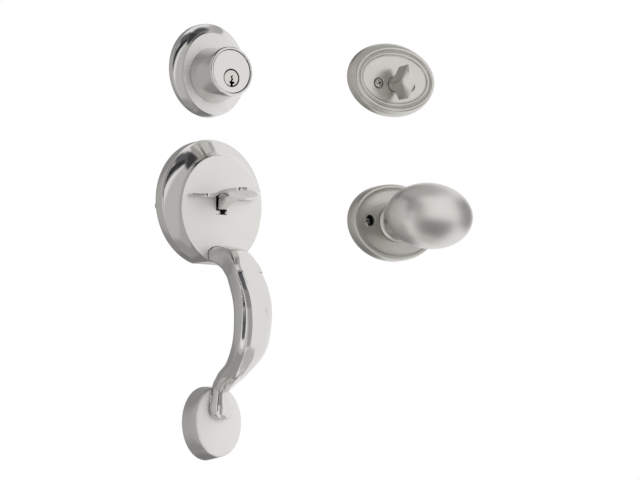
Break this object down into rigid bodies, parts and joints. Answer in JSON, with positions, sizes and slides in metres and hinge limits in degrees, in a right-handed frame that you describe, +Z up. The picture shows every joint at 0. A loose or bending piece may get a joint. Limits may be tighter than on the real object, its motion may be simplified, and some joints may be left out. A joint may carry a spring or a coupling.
{
  "type": "door handleset",
  "caption": "Entrance door handleset: deadbolt rose with cylinder, curved grip handle with thumbpiece, and the room side's thumbturn and egg knob.",
  "frame": {"origin": "on the latch axis in the plane of the door's face, behind the grip's upper rose", "axes": "+Y goes into the door, so the pieces stand out towards -Y; +Z is up along the grip; +X is right when the door's face is seen"},
  "size_m": [0.2575, 0.123, 0.3396],
  "materials": {
    "satin_nickel": "satin nickel plate, finely polished",
    "brushed_nickel": "brushed satin nickel plate",
    "zinc_plated_steel": "zinc plated",
    "spring_steel": "oiled spring steel"
  },
  "bodies": {
    "trim": {"deadbolt_rose": "satin_nickel", "cylinder_guard": "satin_nickel", "cylinder_housing": "brushed_nickel", "handle_rose": "satin_nickel", "grip": "satin_nickel", "lower_rose": "satin_nickel", "lower_stud": "zinc_plated_steel", "handle_back_plate": "zinc_plated_steel", "plate_screw_1": "zinc_plated_steel", "plate_screw_2": "zinc_plated_steel", "plate_screw_3": "zinc_plated_steel", "grip_screw_left": "zinc_plated_steel", "grip_screw_right": "zinc_plated_steel", "mounting_post_left": "zinc_plated_steel", "mounting_post_right": "zinc_plated_steel", "thumb_pivot_pin": "zinc_plated_steel", "slide_rivet_lower": "zinc_plated_steel", "slide_rivet_upper": "zinc_plated_steel", "lift_spring": "spring_steel", "thumbturn_plate": "brushed_nickel", "thumbturn_bracket": "zinc_plated_steel", "thumbturn_screw_left": "zinc_plated_steel", "thumbturn_screw_right": "zinc_plated_steel", "turn_washer": "spring_steel", "knob_rose": "brushed_nickel", "knob_base_plate": "zinc_plated_steel", "knob_screw_left": "zinc_plated_steel", "knob_screw_right": "zinc_plated_steel", "knob_return_spring": "spring_steel"},
    "thumb": {"thumbpiece": "satin_nickel"},
    "slide": {"lift_slide": "zinc_plated_steel"},
    "latch_drive": {"latch_cam": "zinc_plated_steel", "latch_spindle": "zinc_plated_steel", "latch_circlip": "spring_steel"},
    "plug": {"cylinder_plug": "brushed_nickel", "plug_cap": "zinc_plated_steel", "tailpiece": "zinc_plated_steel"},
    "turn": {"turn_piece": "brushed_nickel", "turn_shaft": "zinc_plated_steel", "turn_clip": "spring_steel"},
    "knob": {"knob_shell": "brushed_nickel", "knob_neck": "brushed_nickel", "knob_drive_plate": "zinc_plated_steel", "knob_spindle": "zinc_plated_steel", "knob_circlip": "spring_steel"}
  },
  "joints": [
    {"name": "thumb_press", "type": "hinge", "parent": "trim", "child": "thumb", "pos_m": [0, -0.015, -0.006], "axis": [1, 0, 0], "range_deg": [0, 16]},
    {"name": "lift", "type": "slide", "parent": "trim", "child": "slide", "axis": [0, 0, 1], "range_m": [0, 0.00215], "stiffness_N_per_m": 800, "springref_m": -0.006, "deforming": ["lift_spring"]},
    {"name": "latch_turn", "type": "hinge", "parent": "trim", "child": "latch_drive", "pos_m": [0, 0, 0], "axis": [0, -1, 0], "range_deg": [0, 24.1]},
    {"name": "plug_turn", "type": "hinge", "parent": "trim", "child": "plug", "pos_m": [0, 0, 0.0938], "axis": [0, -1, 0], "range_deg": [-90, 90]},
    {"name": "thumbturn_turn", "type": "hinge", "parent": "trim", "child": "turn", "pos_m": [0.1715, 0, 0.1068], "axis": [0, -1, 0], "range_deg": [0, 90]},
    {"name": "knob_turn", "type": "hinge", "parent": "trim", "child": "knob", "pos_m": [0.1715, 0, -0.0035], "axis": [0, -1, 0], "range_deg": [-60, 60], "stiffness_Nm_per_rad": 0.2}
  ],
  "couplings": [
    {"joint": "thumb_press", "follows": "lift", "rad_per_m": 129.87},
    {"joint": "latch_turn", "follows": "lift", "rad_per_m": 194.8}
  ]
}
